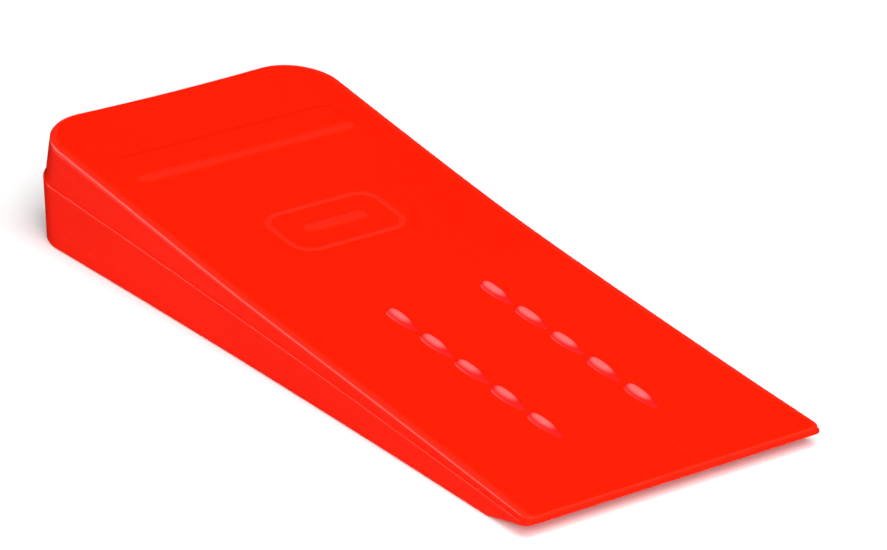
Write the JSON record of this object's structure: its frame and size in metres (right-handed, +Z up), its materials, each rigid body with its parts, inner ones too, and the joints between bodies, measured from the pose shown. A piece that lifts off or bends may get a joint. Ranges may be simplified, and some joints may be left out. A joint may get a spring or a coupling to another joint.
{
  "type": "felling wedge",
  "caption": "Solid red plastic felling wedge with a two-slope lifting face, rounded striking head, thin bevelled tip, rows of gripping barbs and two blank plates.",
  "frame": {"origin": "centre of the footprint's bounding rectangle, on the surface the wedge rests on", "axes": "+Z up, square to the underside; +Y along the wedge towards the thick head that is struck; +X to the right seen from the tip, looking at the head"},
  "size_m": [0.081, 0.2, 0.027],
  "materials": {
    "moulded_red": "satin moulded plastic, bright red, lightly scuffed",
    "barb_red": "smooth glossy red plastic that catches the light"
  },
  "bodies": {
    "root": {"wedge_body": "moulded_red", "barb_left_1": "barb_red", "barb_left_2": "barb_red", "barb_left_3": "barb_red", "barb_left_4": "barb_red", "barb_left_5": "barb_red", "barb_right_1": "barb_red", "barb_right_2": "barb_red", "barb_right_3": "barb_red", "barb_right_4": "barb_red", "barb_right_5": "barb_red", "badge_plate": "moulded_red", "nameplate": "moulded_red"}
  },
  "joints": []
}
